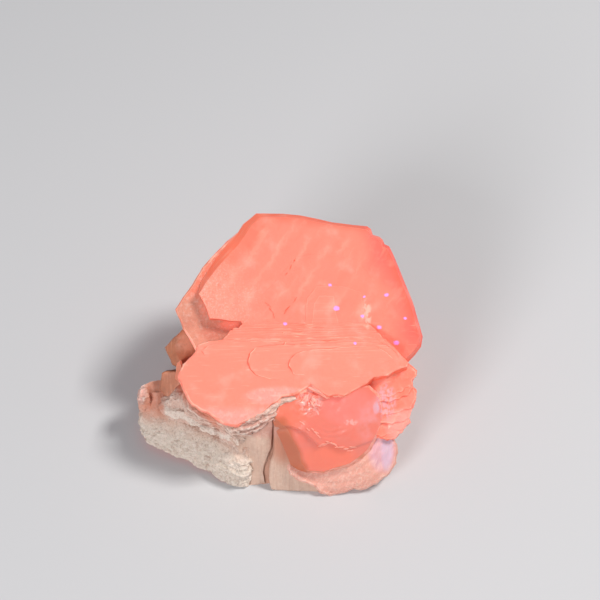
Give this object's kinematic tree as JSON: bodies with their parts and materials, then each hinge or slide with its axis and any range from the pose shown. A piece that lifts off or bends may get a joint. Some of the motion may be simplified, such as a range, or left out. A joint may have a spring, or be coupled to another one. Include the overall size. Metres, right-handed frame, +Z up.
{
  "type": "calcite specimen",
  "caption": "Pale pink calcite: six-sided tabular crystals leaning back in a stepped stack, with a broken translucent crystal and a rough foot cut flat.",
  "frame": {"origin": "on the ground, under the middle of the bounding box", "axes": "+Z up, -Y towards the viewer of the big crystal faces, +X to that viewer's right"},
  "size_m": [0.0798, 0.065, 0.0551],
  "materials": {
    "calcite": "milky, frosted, salmon pink where it fluoresces, chalky grey-white on the rough foot"
  },
  "bodies": {
    "root": {"calcite_cluster": "calcite"}
  },
  "joints": []
}
